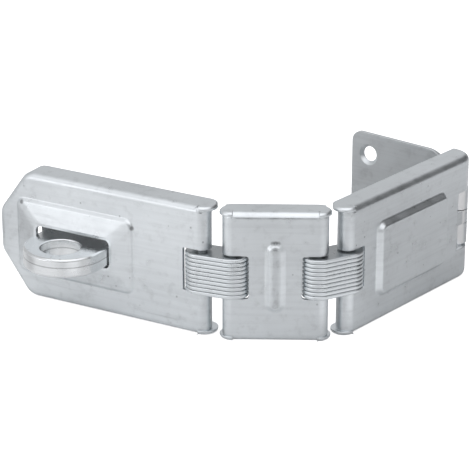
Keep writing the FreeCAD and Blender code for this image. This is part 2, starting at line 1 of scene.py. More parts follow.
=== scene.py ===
# %% [markdown]
# # A folding padlock hasp
# This lesson dresses a zinc-plated steel hasp. The measured solids come in first
# and stay where they are. Every piece that shows is then given the soft edges,
# the plating and the light that the real one has.

# %% Load the measured solids
import json
import math
import bmesh
import bpy
from mathutils import Matrix, Vector


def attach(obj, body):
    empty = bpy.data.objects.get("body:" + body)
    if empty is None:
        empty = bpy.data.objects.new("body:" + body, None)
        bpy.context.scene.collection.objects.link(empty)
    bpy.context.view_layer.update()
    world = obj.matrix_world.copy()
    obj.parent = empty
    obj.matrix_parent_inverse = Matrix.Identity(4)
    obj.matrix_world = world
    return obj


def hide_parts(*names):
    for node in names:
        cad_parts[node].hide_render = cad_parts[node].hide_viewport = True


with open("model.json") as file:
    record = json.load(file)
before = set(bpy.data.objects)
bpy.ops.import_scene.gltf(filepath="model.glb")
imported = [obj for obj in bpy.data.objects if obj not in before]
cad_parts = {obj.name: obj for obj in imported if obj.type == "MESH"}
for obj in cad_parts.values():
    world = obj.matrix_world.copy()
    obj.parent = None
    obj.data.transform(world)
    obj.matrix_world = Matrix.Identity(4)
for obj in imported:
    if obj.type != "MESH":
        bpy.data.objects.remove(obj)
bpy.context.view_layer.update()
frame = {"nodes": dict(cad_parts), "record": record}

# %% [markdown]
# ## Millimetres and the hasp's own directions
# The drawing is in millimetres and the scene in metres, so one small factor
# keeps every number below readable. Each plate and link stands turned about the
# upright hinge pins. The turns are named once, and the pins are read from the
# solids' own record, so a piece and its plating always share one direction.

# %% Units, turns and pins
MM = 0.001
LEFT_TURN = math.radians(10.3)
LEFT_LINK_TURN = math.radians(18.3)
MIDDLE_TURN = math.radians(38.3)
RIGHT_LINK_TURN = math.radians(68.0)
RIGHT_TURN = math.radians(90.0)
pins = {joint["name"]: Vector(joint["pos_m"]) / MM
        for joint in frame["record"]["behaviour"]["joints"]}
scene = bpy.context.scene
scene.view_settings.view_transform = "Standard"
print("pins in mm:", {name: tuple(round(c, 1) for c in pin) for name, pin in pins.items()})

# %% [markdown]
# ## Camera
# The catalogue picture is taken with a long lens from the front right, a little
# above the hasp, so that parallel edges stay nearly parallel. The place and the
# lens come from fitting the picture's edges.

# %% Camera
lens = bpy.data.cameras.new("camera")
lens.lens = 166.5
lens.sensor_width = 36.0
lens.clip_start = 0.01
lens.clip_end = 20.0
camera = bpy.data.objects.new("camera", lens)
scene.collection.objects.link(camera)
camera.location = Vector((419.9, -597.5, 271.1)) * MM
looks_at = Vector((2.5, -96.6, 13.7)) * MM
camera.rotation_euler = (looks_at - camera.location).to_track_quat("-Z", "Y").to_euler()
scene.camera = camera
print("camera is", round((looks_at - camera.location).length / MM), "mm away")

# %% [markdown]
# ## A finish, step by step
# Every finish below is a chain of small steps: measure a distance, turn it into
# a soft mask, and lay one tone over another with it. This helper keeps the steps
# of one finish together, so that each mark on the metal takes a line or two.


# %% Finish steps
class FinishSteps:
    """The chain of steps behind one finish."""

    def __init__(self, tree):
        tree.nodes.clear()
        self.nodes, self.links = tree.nodes, tree.links

    def feed(self, socket, source):
        """Takes another step's result, or else a plain value."""
        if isinstance(source, bpy.types.NodeSocket):
            self.links.new(source, socket)
        else:
            socket.default_value = source

    def number(self, operation, *sources):
        """One sum with numbers, such as a product or a difference."""
        step = self.nodes.new("ShaderNodeMath")
        step.operation = operation
        for socket, source in zip(step.inputs, sources):
            self.feed(socket, source)
        return step.outputs[0]

    def vector(self, operation, *sources):
        """One sum with places or directions, which may give a plain number."""
        step = self.nodes.new("ShaderNodeVectorMath")
        step.operation = operation
        for socket, source in zip(step.inputs, sources):
            self.feed(socket, source)
        measures = operation in ("DISTANCE", "DOT_PRODUCT", "LENGTH")
        return step.outputs["Value" if measures else "Vector"]

    def height_of(self, place):
        parts = self.nodes.new("ShaderNodeSeparateXYZ")
        self.links.new(place, parts.inputs[0])
        return parts.outputs["Z"]

    def soft_mask(self, value, start, end):
        """Goes softly from 0 at the start to 1 at the end."""
        mask = self.nodes.new("ShaderNodeMapRange")
        mask.interpolation_type = "SMOOTHSTEP"
        mask.inputs["From Min"].default_value = start
        mask.inputs["From Max"].default_value = end
        self.links.new(value, mask.inputs["Value"])
        return mask.outputs["Result"]

    def within(self, distance, outer, inner):
        """Goes softly from 0 at the outer distance in mm to 1 at the inner one."""
        return self.soft_mask(distance, outer * MM, inner * MM)

    def mixed(self, mask, below, above, kind="MIX"):
        """Lays one colour over another where the mask is 1."""
        mix = self.nodes.new("ShaderNodeMix")
        mix.data_type = "RGBA"
        mix.blend_type = kind
        self.feed(mix.inputs[0], mask)
        for socket, colour in ((mix.inputs[6], below), (mix.inputs[7], above)):
            self.feed(socket, (*colour, 1) if isinstance(colour, tuple) else colour)
        return mix.outputs[2]

    def shaded(self, mask, below, amount):
        """Darkens a colour by the amount where the mask is 1."""
        tone = self.mixed(mask, (1.0, 1.0, 1.0), (1 - amount,) * 3)
        return self.mixed(1.0, below, tone, "MULTIPLY")


def new_finish(name):
    """A material with nothing in it yet, and the chain that fills it."""
    material = bpy.data.materials.new(name)
    material.use_nodes = True
    return material, FinishSteps(material.node_tree)


# %% [markdown]
# ## Studio floor
# Plating is a mirror that has been made soft, so it mostly shows what stands
# round it. The upright faces look down on the table, so the floor fills them.
# It isn't one even tone: round patches of painted shade and painted light lie on
# it, each with a soft edge, and only the metal sees them. Their painted
# reflections give the long faces their slow shading, leave the bead's sides
# brighter than its crest, and put the streaks on the rolled barrels. The
# camera itself sees a plain, nearly white floor with the hasp's own shadow.

# %% Floor
FLOOR_LEVEL = -22.55 * MM
FLOOR_HALF_SIZE = 6.0
FLOOR_TONE = 0.66
SEEN_TONE = 0.90
SEEN_GLOW = 0.75
# each patch of painted shade or light: its middle in mm, how far it is even, where it ends, its
# tone
PAINTED_FLOOR_PATCHES = (
    ((-90, -215), 50, 110, 0.92),
    ((-75, -98), 30, 110, 0.74),
    ((-132, -165), 16, 44, 0.42),
    ((62, 15), 35, 75, 0.56),
    ((-50, -60), 22, 55, 0.46),
    ((78, -80), 20, 46, 0.94),
    ((14, -156), 12, 34, 1.0),
)


def floor_finish():
    """Pale board that the camera sees nearly white, with the shadow kept. The metal sees it with
    patches of painted shade and light on it.
    """
    material, steps = new_finish("floor_board")
    output = steps.nodes.new("ShaderNodeOutputMaterial")
    place = steps.nodes.new("ShaderNodeTexCoord").outputs["Object"]
    tone = (FLOOR_TONE,) * 3
    for middle, reach, edge, level in PAINTED_FLOOR_PATCHES:
        apart = steps.vector("DISTANCE", place, Vector((*middle, FLOOR_LEVEL / MM)) * MM)
        painted_patch = steps.within(apart, edge, reach)
        tone = steps.mixed(painted_patch, tone, (level,) * 3)
    board = steps.nodes.new("ShaderNodeBsdfDiffuse")
    steps.links.new(tone, board.inputs["Color"])
    seen = steps.nodes.new("ShaderNodeBsdfDiffuse")
    seen.inputs["Color"].default_value = (SEEN_TONE, SEEN_TONE, SEEN_TONE, 1)
    glow = steps.nodes.new("ShaderNodeEmission")
    glow.inputs["Color"].default_value = (1, 1, 1, 1)
    glow.inputs["Strength"].default_value = SEEN_GLOW
    seen_board = steps.nodes.new("ShaderNodeAddShader")
    steps.links.new(seen.outputs[0], seen_board.inputs[0])
    steps.links.new(glow.outputs[0], seen_board.inputs[1])
    path = steps.nodes.new("ShaderNodeLightPath")
    either = steps.nodes.new("ShaderNodeMixShader")
    steps.links.new(path.outputs["Is Camera Ray"], either.inputs[0])
    steps.links.new(board.outputs[0], either.inputs[1])
    steps.links.new(seen_board.outputs[0], either.inputs[2])
    steps.links.new(either.outputs[0], output.inputs["Surface"])
    return material


# %% Lay the floor
floor_mesh = bpy.data.meshes.new("floor")
sheet = bmesh.new()
bmesh.ops.create_grid(sheet, x_segments=1, y_segments=1, size=FLOOR_HALF_SIZE)
bmesh.ops.translate(sheet, verts=sheet.verts, vec=(0, 0, FLOOR_LEVEL))
sheet.to_mesh(floor_mesh)
sheet.free()
floor = bpy.data.objects.new("floor", floor_mesh)
scene.collection.objects.link(floor)
floor.data.materials.append(floor_finish())
print("floor at", round(FLOOR_LEVEL / MM, 2), "mm with", len(PAINTED_FLOOR_PATCHES), "patches")

# %% [markdown]
# ## Studio walls
# Round the table hangs a plain grey room with a few large soft panels. The bends
# of the plates turn from the face to the sky, so a dark strip just above the
# table on the right gives them their thin dark line, and the bright panel above
# it gives the white band along the middle plate. The two panels on the left light
# the boss's upper slope and the left plate's bend. The back right is dark, which
# is what draws the dark line along the right plate's upper bend.

# %% World
ROOM_TONE = (0.65, 0.655, 0.665)
ROOM_STRENGTH = 0.9
PANEL_BLUE = 1.02
# each panel: degrees right of the front and above the table, how far it is even,
# how wide its soft edge is, its brightness
PANELS = (
    (-26, 26, 20, 22, 0.95),
    (-21, 8, 10, 10, 1.75),
    (38, 66, 32, 16, 1.4),
    (150, 8, 30, 24, 0.13),
    (38, 3, 7, 9, 0.10),
)
world = bpy.data.worlds.new("studio")
scene.world = world
world.use_nodes = True
studio = FinishSteps(world.node_tree)
sky_direction = studio.nodes.new("ShaderNodeTexCoord").outputs["Generated"]


def nearness(side, height):
    """1 when looking straight that way, 0 when looking across it."""
    a, h = math.radians(side), math.radians(height)
    aim = Vector((math.sin(a) * math.cos(h), -math.cos(a) * math.cos(h), math.sin(h)))
    return studio.vector("DOT_PRODUCT", sky_direction, aim)


def round_panel(behind, side, height, reach, soft, level):
    """A round soft-edged panel of one brightness in front of what is behind it."""
    outer = math.cos(math.radians(reach + soft))
    inner = math.cos(math.radians(reach))
    cover = studio.soft_mask(nearness(side, height), outer, inner)
    return studio.mixed(cover, behind, (level, level, PANEL_BLUE * level))


walls = ROOM_TONE
for panel in PANELS:
    walls = round_panel(walls, *panel)
sky_light = studio.nodes.new("ShaderNodeBackground")
sky_out = studio.nodes.new("ShaderNodeOutputWorld")
studio.links.new(walls, sky_light.inputs["Color"])
sky_light.inputs["Strength"].default_value = ROOM_STRENGTH
studio.links.new(sky_light.outputs[0], sky_out.inputs["Surface"])
print("room with", len(PANELS), "panels")

# %% [markdown]
# ## Lamps
# A wide lamp low at the front left, one overhead and a small one at the front right
# light the table and cast the soft shadow. The metal doesn't mirror them, because
# a lamp's hard outline would lie across the plates as a white bar. It mirrors the
# room's soft panels instead.


# %% Lamps
def add_lamp(name, place, aim, size, power):
    """A soft rectangular lamp, with its place, aim and size in mm."""
    lamp = bpy.data.lights.new(name, "AREA")
    lamp.shape = "RECTANGLE"
    lamp.size = size[0] * MM
    lamp.size_y = size[1] * MM
    lamp.energy = power
    holder = bpy.data.objects.new(name, lamp)
    scene.collection.objects.link(holder)
    holder.location = Vector(place) * MM
    turn = (Vector(aim) - Vector(place)).to_track_quat("-Z", "Y")
    holder.rotation_euler = turn.to_euler()
    holder.visible_glossy = False
    print(name, "of", power, "W")


add_lamp("key_lamp", (-430, -860, 330), (-30, -80, 0), (1000, 600), 1.5)
add_lamp("top_lamp", (-100, 0, 900), (-10, -60, 0), (500, 500), 0.8)
add_lamp("front_lamp", (450, -640, 600), (0, -80, 0), (500, 260), 0.4)

# %% [markdown]
# ## Zinc plating
# Bright zinc is a metal with a soft, slightly uneven gloss. Wide clouds and finer
# mottling move its colour and gloss a little, because plating never grows quite
# evenly. The sheet keeps fine lines along the way it was rolled. Handling in the
# plating barrel leaves small pits and a few short scratches. The edges get a
# painted highlight. All of it is laid out in the piece's own directions. An even
# grey metal would be simpler, but it would look like moulded plastic.

# %% Grain, pits, edges and relief
# each grain: its scale, its detail, how it is stretched along the piece, its tilt
EVEN = (1, 1, 1)
GRAINS = {
    "clouds": (60.0, 3.0, EVEN, 0.0),
    "mottling": (260.0, 4.0, EVEN, 0.0),
    "rolled": (700.0, 2.0, (0.03, 0.03, 1.0), 0.0),
    "rubbed": (150.0, 5.0, (0.12, 0.12, 1.0), 0.0),
    "scratched": (420.0, 1.0, (0.05, 0.05, 1.0), 0.7),
    "thin": (110.0, 1.0, EVEN, 0.0),
}
GRAIN_ROUGHNESS = 0.6
# between which of its values each grain's marks fade in
MARKS = {
    "clouds": (0.35, 0.65),
    "mottling": (0.50, 0.30),
    "rolled": (0.60, 0.30),
    "rubbed": (0.62, 0.74),
    "scratched": (0.74, 0.80),
    "thin": (0.56, 0.66),
}
PIT_SCALE = 330.0
PIT_SPAN = (0.16, 0.07)
# the painted highlight along the edges: how wide it is, how many samples, where it fades in
EDGE_HIGHLIGHT_RADIUS = 0.35
EDGE_HIGHLIGHT_SAMPLES = 4
EDGE_HIGHLIGHT_SPAN = (0.97, 0.86)
GLOSS_SPAN = (0.3, 0.7)
GLOSS_SWING = (-0.06, 0.08)


def grain(steps, along, scale, detail, stretch, tilt):
    """One kind of unevenness, laid out in the directions of the piece."""
    layout = steps.nodes.new("ShaderNodeMapping")
    layout.inputs["Scale"].default_value = stretch
    layout.inputs["Rotation"].default_value = (0, tilt, 0)
    steps.links.new(along, layout.inputs["Vector"])
    noise = steps.nodes.new("ShaderNodeTexNoise")
    noise.inputs["Scale"].default_value = scale
    noise.inputs["Detail"].default_value = detail
    noise.inputs["Roughness"].default_value = GRAIN_ROUGHNESS
    steps.links.new(layout.outputs[0], noise.inputs["Vector"])
    return noise.outputs["Fac"]


def pits(steps, along, thin):
    """Small round pits, only where the plating is thin."""
    cells = steps.nodes.new("ShaderNodeTexVoronoi")
    cells.inputs["Scale"].default_value = PIT_SCALE
    steps.links.new(along, cells.inputs["Vector"])
    dots = steps.soft_mask(cells.outputs["Distance"], *PIT_SPAN)
    return steps.number("MULTIPLY", thin, dots)


def painted_edge_highlight(steps, edge_highlight):
    """A painted highlight along the edges. An edge is where a rounded surface would turn away
    from the real one.
    """
    ease = steps.nodes.new("ShaderNodeBevel")
    ease.samples = EDGE_HIGHLIGHT_SAMPLES
    ease.inputs["Radius"].default_value = EDGE_HIGHLIGHT_RADIUS * MM
    surface = steps.nodes.new("ShaderNodeNewGeometry")
    turned = steps.vector("DOT_PRODUCT", ease.outputs[0], surface.outputs["Normal"])
    return steps.number("MULTIPLY", steps.soft_mask(turned, *EDGE_HIGHLIGHT_SPAN), edge_highlight)


def plating_gloss(steps, mottling, rough):
    """How rough the plating is, a little more in some places than in others."""
    gloss = steps.nodes.new("ShaderNodeMapRange")
    for socket, value in zip(("From Min", "From Max"), GLOSS_SPAN):
        gloss.inputs[socket].default_value = value
    for socket, swing in zip(("To Min", "To Max"), GLOSS_SWING):
        gloss.inputs[socket].default_value = rough + swing
    steps.links.new(mottling, gloss.inputs["Value"])
    return gloss.outputs["Result"]


def relief(steps, layers):
    """Raises or sinks each layer by its height in mm, one on top of another."""
    surface = None
    for layer, height in layers:
        bump = steps.nodes.new("ShaderNodeBump")
        bump.inputs["Strength"].default_value = 1.0
        bump.inputs["Distance"].default_value = height * MM
        steps.links.new(layer, bump.inputs["Height"])
        if surface is not None:
            steps.links.new(surface, bump.inputs["Normal"])
        surface = bump.outputs["Normal"]
    return surface


print("grains of the plating:", ", ".join(GRAINS))

# %% [markdown]
# ## Marks of the press, painted shade and painted highlights
# Some pieces carry marks of their own. Painted shade darkens the corners of the
# boss and the top end of the bead. The bead's crest is darker and flecked. The
# sheet rolled round the hinge pin has a painted highlight down its crown. A stack
# of laminations has painted shade in the joint between each two, and the staple's
# eye has a fine line where the two halves of its die met.

# %% Painted shade spots, crest, knuckle highlight, joint shade and seam
# how many mm from its middle each mark starts, and where it is full
SHADE_SPOT_REACH = (1.1, 0.35)
CREST_REACH = (1.7, 0.6)
ROLL_REACH = (4.4, 3.7)
JOINT_SHADE_REACH = (0.20, 0.04)
SEAM_REACH = 0.17
# which way the painted highlight on a rolled knuckle faces, and where it fades in
KNUCKLE_FRONT = Vector((0.853, -0.521, 0.0))
KNUCKLE_HIGHLIGHT_SPAN = (0.88, 0.99)


def painted_shade_spot(steps, place, point):
    """A small round spot of painted shade about a point in mm."""
    apart = steps.vector("DISTANCE", place, Vector(point) * MM)
    return steps.within(apart, *SHADE_SPOT_REACH)


def ridge_top(steps, along, line):
    """The top of an upright ridge that lies this many mm along the plate."""
    parts = steps.nodes.new("ShaderNodeSeparateXYZ")
    steps.links.new(along, parts.inputs[0])
    off = steps.number("ABSOLUTE", steps.number("SUBTRACT", parts.outputs["X"], line * MM))
    return steps.within(off, *CREST_REACH)


def knuckle_painted_highlight(steps, place, pin):
    """A painted highlight down the crown of the sheet that is rolled round an upright pin."""
    offset = steps.vector("SUBTRACT", place, Vector((pin.x, pin.y, 0)) * MM)
    flat = steps.vector("MULTIPLY", offset, (1, 1, 0))
    roll = steps.within(steps.vector("LENGTH", flat), *ROLL_REACH)
    facing = steps.vector("DOT_PRODUCT", steps.vector("NORMALIZE", flat), KNUCKLE_FRONT)
    return steps.number("MULTIPLY", roll, steps.soft_mask(facing, *KNUCKLE_HIGHLIGHT_SPAN))


def lamination_joint_shade(steps, place, pitch):
    """Painted shade as a thin level line at each joint of a stack, whose plates are a pitch
    apart.
    """
    fold = steps.number("PINGPONG", steps.height_of(place), pitch / 2 * MM)
    return steps.within(fold, *JOINT_SHADE_REACH)


def die_seam(steps, place, height):
    """A thin level line at a height in mm."""
    return steps.number("COMPARE", steps.height_of(place), height * MM, SEAM_REACH * MM)


# %% [markdown]
# ## The finish put together
# The colour is built up in layers: clouds first, then stains and scratches, then
# the press's marks and the spots of painted shade, the painted highlight on the
# knuckles, the painted shade in the joints, and the painted highlight along the
# edges over them all. The same grains change the gloss and raise or sink the
# surface a little, so that light, colour and gloss change at the same places, as
# they do on real metal. A painted picture could do this for one piece, but these
# layers fit every piece and have no seams.

# %% Shades and heights of the marks
DULL = 0.955
EDGE_HIGHLIGHT = (0.93, 0.94, 0.95)
KNUCKLE_HIGHLIGHT = (1.0, 1.0, 1.0)
FLECK_SPAN = (0.56, 0.40)
# how much darker each mark is
SHADES = {"mottling": 0.10, "rolled": 0.05, "rubbed": 0.10, "pitted": 0.35,
          "scratched": 0.14}
# the joint's darkness is painted shade between the laminations
PRESS_SHADES = {"crest": 0.07, "flecks": 0.12, "joint": 0.42, "seam": 0.35}
# how many mm each mark stands up, or sinks where the number is below 0
GRAIN_HEIGHTS = {"clouds": 0.06, "mottling": 0.022, "rolled": 0.003}
MARK_HEIGHTS = {"pitted": -0.03, "scratched": -0.006}
SEAM_HEIGHT = 0.12
print("marks:", ", ".join((*SHADES, *PRESS_SHADES)))


# %% Zinc finish
def zinc_finish(name, colour, rough, turn=0.0, mottle=1.0, grooves=None, edge_highlight=0.5,
                metal=1.0, seam=None, shade_spots=(), knuckles=None, crest=None):
    """Plated steel. The turn is the plate's, so that the rolled lines run along it,
    grooves is the pitch in mm of the painted shade at the joints in a stack of
    laminations, edge_highlight is how strong the painted highlight along the edges
    is, and seam is the height in mm of the line that the die left. Shade spots are
    points in mm, each with the darkness of its painted shade. Knuckles is the pin in
    mm that the sheet is rolled round, whose crown gets a painted highlight, and crest
    is how far along the plate a ridge's darker, flecked top lies."""
    material, steps = new_finish(name)
    output = steps.nodes.new("ShaderNodeOutputMaterial")
    steel = steps.nodes.new("ShaderNodeBsdfPrincipled")
    steel.inputs["Metallic"].default_value = metal
    place = steps.nodes.new("ShaderNodeTexCoord").outputs["Object"]
    turned = steps.nodes.new("ShaderNodeVectorRotate")
    turned.rotation_type = "Z_AXIS"
    turned.inputs["Angle"].default_value = -turn
    steps.links.new(place, turned.inputs["Vector"])
    along = turned.outputs[0]

    grains = {kind: grain(steps, along, *layout) for kind, layout in GRAINS.items()}
    marks = {kind: steps.soft_mask(grains[kind], *span) for kind, span in MARKS.items()}
    marks["pitted"] = pits(steps, along, marks["thin"])
    tint = steps.mixed(marks["clouds"], tuple(DULL * c for c in colour), colour)
    shades = [(marks[kind], depth * (mottle if kind in ("mottling", "rubbed") else 1.0))
              for kind, depth in SHADES.items()]
    shades += [(painted_shade_spot(steps, place, point), depth) for *point, depth in shade_spots]
    # the bead's crest is made darker, with darker flecks
    if crest is not None:
        top = ridge_top(steps, along, crest)
        flecks = steps.soft_mask(grains["mottling"], *FLECK_SPAN)
        shades.append((top, PRESS_SHADES["crest"]))
        shades.append((steps.number("MULTIPLY", top, flecks), PRESS_SHADES["flecks"]))
    for mask, depth in shades:
        tint = steps.shaded(mask, tint, depth)
    # a painted highlight down the crown of the sheet rolled round the pin
    if knuckles is not None:
        tint = steps.mixed(knuckle_painted_highlight(steps, place, knuckles), tint, KNUCKLE_HIGHLIGHT)
    # painted shade in the joints between the laminations
    if grooves is not None:
        joint = lamination_joint_shade(steps, place, grooves)
        tint = steps.shaded(joint, tint, PRESS_SHADES["joint"])
    # a painted highlight along the edges
    tint = steps.mixed(painted_edge_highlight(steps, edge_highlight), tint, EDGE_HIGHLIGHT)

    layers = [(grains[kind], height) for kind, height in GRAIN_HEIGHTS.items()]
    layers += [(marks[kind], height) for kind, height in MARK_HEIGHTS.items()]
    if seam is not None:
        line = die_seam(steps, place, seam)
        tint = steps.shaded(line, tint, PRESS_SHADES["seam"])
        layers.append((line, SEAM_HEIGHT))
    steps.links.new(tint, steel.inputs["Base Color"])
    steps.links.new(plating_gloss(steps, grains["mottling"], rough), steel.inputs["Roughness"])
    steps.links.new(relief(steps, layers), steel.inputs["Normal"])
    steps.links.new(steel.outputs[0], output.inputs["Surface"])
    return material


# %% [markdown]
# ## One finish for each piece
# All the pieces went through the same zinc bath, but they don't look the same. The
# plates are bright, with their rolled lines each along its own plate. The leaf is
# duller, and its colour is darkened with painted shade. The eye is forged and
# polished smoother than sheet. The staple's base shows only from behind and as a
# sliver in the slot. It is the dullest, and its colour is made paler with painted
# light, which lifts the dark inside of the slot. The bead has the middle plate's
# finish, with its own darker crest.

# %% Finishes
BRIGHT = (0.815, 0.85, 0.87)
SHEET_ROUGH = 0.33
LAMINATION_ROUGH = 0.30
LAMINATION_PITCH = 1.4
LAMINATION_EDGE_HIGHLIGHT = 0.1
# spots of painted shade at the boss's corners and at the bead's top end: a point in mm and its
# darkness
BOSS_PAINTED_SHADE = ((-74.5, -116.6, 12.4, 0.62), (-32.0, -108.3, 10.8, 0.62))
BEAD_PAINTED_SHADE = ((14.9, -91.15, 12.15, 0.55), (15.6, -90.55, 12.05, 0.45),
                (14.2, -91.7, 12.05, 0.45), (15.25, -91.6, 10.6, 0.25))
middle_centre = (pins["middle_left_link"] + pins["right_link_middle"]) / 2
bead_line = (Matrix.Rotation(-MIDDLE_TURN, 3, "Z") @ middle_centre).x

left_plate_zinc = zinc_finish("left_plate_zinc", BRIGHT, SHEET_ROUGH, LEFT_TURN, edge_highlight=0.25,
                              shade_spots=BOSS_PAINTED_SHADE)
middle_plate_zinc = zinc_finish("middle_plate_zinc", BRIGHT, SHEET_ROUGH, MIDDLE_TURN,
                                shade_spots=BEAD_PAINTED_SHADE)
bead_zinc = zinc_finish("bead_zinc", BRIGHT, SHEET_ROUGH, MIDDLE_TURN,
                        shade_spots=BEAD_PAINTED_SHADE, crest=bead_line)
right_plate_zinc = zinc_finish("right_plate_zinc", BRIGHT, SHEET_ROUGH, RIGHT_TURN)
# the leaf's darker colour is painted shade, and its knuckles get a painted highlight
leaf_zinc_painted_shade = zinc_finish("leaf_zinc_painted_shade", (0.74, 0.77, 0.785), 0.38, knuckles=pins["leaf_hinge"])
left_link_zinc = zinc_finish("left_link_zinc", BRIGHT, LAMINATION_ROUGH, LEFT_LINK_TURN,
                             grooves=LAMINATION_PITCH, edge_highlight=LAMINATION_EDGE_HIGHLIGHT)
right_link_zinc = zinc_finish("right_link_zinc", BRIGHT, LAMINATION_ROUGH, RIGHT_LINK_TURN,
                              grooves=LAMINATION_PITCH, edge_highlight=LAMINATION_EDGE_HIGHLIGHT)
# the base's paler colour is painted light, which lifts the dark inside of the slot
base_zinc_painted_light = zinc_finish("base_zinc_painted_light", (0.90, 0.91, 0.92), 0.55, LEFT_TURN, metal=0.35)
eye_zinc = zinc_finish("eye_zinc", (0.85, 0.87, 0.88), 0.22, LEFT_TURN, mottle=0.5, seam=0.0)
pin_zinc = zinc_finish("pin_zinc", (0.70, 0.72, 0.73), 0.35)
finishes = {"left_plate": left_plate_zinc, "middle_plate": middle_plate_zinc,
            "right_plate": right_plate_zinc, "staple_eye": eye_zinc,
            "left_link": left_link_zinc, "right_link": right_link_zinc,
            "link_pin": pin_zinc, "leaf_pin": pin_zinc, "staple_base": base_zinc_painted_light}
print("finishes:", sorted({finish.name for finish in (*finishes.values(), leaf_zinc_painted_shade, bead_zinc)}))

# %% [markdown]
# ## Dress the solids
# Each measured solid takes its finish first, also where a rounder copy will stand
# for it later, so that none is left bare. A lamination's name starts with its
# link's name, so one entry in the table dresses all ten. What has no entry belongs
# to the leaf and its hinge.


def finish_of(node):
    """The finish whose name the node's name starts with, or else the leaf's."""
    fitting = [finish for start, finish in finishes.items() if node.startswith(start)]
    return fitting[0] if fitting else leaf_zinc_painted_shade


for name, solid in frame["nodes"].items():
    solid.data.materials.clear()
    solid.data.materials.append(finish_of(name))
print("dressed", len(frame["nodes"]), "solids")

# %% [markdown]
# ## Pieces with eased edges
# A press leaves no knife edges: the die draws them round on one side and the
# plating barrel wears down the burr on the other. Each piece that shows is a
# copy of its solid with the loose triangles joined, its flats made whole, and its
# sharp edges rounded by a small bevel. Weighted normals keep the flats flat to
# the light, so that only the rounded edges shine.

# %% Eased copies
MERGE_REACH = 0.001 * MM
FLAT_ANGLE = math.radians(0.3)
SHARP_ANGLE = math.radians(40)
EDGE_STEPS = 2
body_of = {node: body for body, nodes in frame["record"]["behaviour"]["bodies"].items()
           for node in nodes}


def joined_skin(node):
    """A copy of a solid's skin as one closed surface with whole flats."""
    skin = bmesh.new()
    skin.from_mesh(frame["nodes"][node].data)
    bmesh.ops.remove_doubles(skin, verts=skin.verts, dist=MERGE_REACH)
    bmesh.ops.dissolve_limit(skin, angle_limit=FLAT_ANGLE, verts=skin.verts, edges=skin.edges)
    return skin


def add_piece(name, skin, node):
    """Makes a smooth-shaded piece of the body that the node belongs to."""
    for face in skin.faces:
        face.smooth = True
    mesh = bpy.data.meshes.new(name)
    skin.to_mesh(mesh)
    skin.free()
    piece = bpy.data.objects.new(name, mesh)
    scene.collection.objects.link(piece)
    mesh.materials.append(finish_of(node))
    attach(piece, body_of[node])
    print(name, len(mesh.polygons), "faces")
    return piece


def ease_edges(piece, edge_radius, steps=EDGE_STEPS, angle=SHARP_ANGLE):
    """Rounds the edges that are sharper than the angle."""
    ease = piece.modifiers.new("edges", "BEVEL")
    ease.width = edge_radius * MM
    ease.segments = steps
    ease.limit_method = "ANGLE"
    ease.angle_limit = angle
    ease.use_clamp_overlap = False
    flats = piece.modifiers.new("flats", "WEIGHTED_NORMAL")
    flats.keep_sharp = True


def eased_piece(node, edge_radius, shape=None, **ways):
    """Stands for a solid, with its sharp edges rounded by the given radius in mm."""
    skin = joined_skin(node)
    if shape:
        shape(skin, node)
    piece = add_piece("eased_" + node, skin, node)
    ease_edges(piece, edge_radius, **ways)
    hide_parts(node)


# %% [markdown]
# ## Rounded ears and notches
# Where a plate's end is rolled round its pin, the flange above reaches past it as
# a rounded ear. The press rounds the ear's outer edge nearly as much as the bend
# beside it. The arc of edges is found by its height and by lying past the pin.
# The notch that the link swings in is punched, and a punch has round corners, so
# the notch's inner corners are rounded too.

# %% Round the ears and notches
PLATE_HALF_HEIGHT = 22.5
LEFT_RISE = 0.35
EAR_ROUNDING = 1.2
# how many mm an ear reaches past its pin, where its outline starts, and how far back
EAR_REACH = 6.0
EAR_INNER_RADIUS = 3.2
EAR_BACK = 4.5
NOTCH_HALF_HEIGHT = 7.5
# the left plate stands higher on its link, so its notch has less room
NOTCH_ROUNDING = {"left_plate": 0.5, "middle_plate": 1.1, "right_plate": 1.1}
NOTCH_SHARPNESS = 1.2
ROUNDING_STEPS = 4
SLACK = 0.01
PLATE_EDGE = 0.15
EDGE_RADII = {"mounting_leaf": 0.12, "staple_base": 0.15, "hinge_strap": 0.1,
              "staple_eye": 0.05}
plates = {
    "left_plate": (LEFT_TURN, LEFT_RISE, [("left_link_plate", 1)]),
    "middle_plate": (MIDDLE_TURN, 0.0, [("middle_left_link", -1), ("right_link_middle", 1)]),
    "right_plate": (RIGHT_TURN, 0.0, [("right_plate_link", -1)]),
}


def ends_from_pin(edge, joint, turn):
    """An edge's ends in mm from a pin, with x along the plate and -y to its front."""
    into_plate = Matrix.Rotation(-turn, 3, "Z")
    return [into_plate @ (v.co / MM - pins[joint]) for v in edge.verts]


def on_ear(edge, joint, side, turn, rise):
    """Whether an edge is part of the ear's outline, which curves on past the pin."""
    start, end = ends_from_pin(edge, joint, turn)
    for p in (start, end):
        past = side * p.x
        if abs(abs(p.z - rise) - PLATE_HALF_HEIGHT) >= SLACK or p.xy.length <= EAR_INNER_RADIUS:
            return False
        if past <= -2 * SLACK or past >= EAR_REACH:
            return False
    middle = (start + end) / 2
    return side * middle.x > SLACK and middle.y < EAR_BACK


def in_notch_corner(edge, joint, turn, rise):
    """Whether an edge runs through the sheet in an inner corner of a notch."""
    start, end = ends_from_pin(edge, joint, turn)
    return (all(abs(abs(p.z - rise) - NOTCH_HALF_HEIGHT) < SLACK for p in (start, end))
            and abs(start.x - end.x) < SLACK and not edge.is_convex
            and edge.calc_face_angle() > NOTCH_SHARPNESS)


def round_off(skin, edges, radius):
    bmesh.ops.bevel(skin, geom=edges, offset=radius * MM, segments=ROUNDING_STEPS,
                    profile=0.5, affect="EDGES", clamp_overlap=False, material=-1)


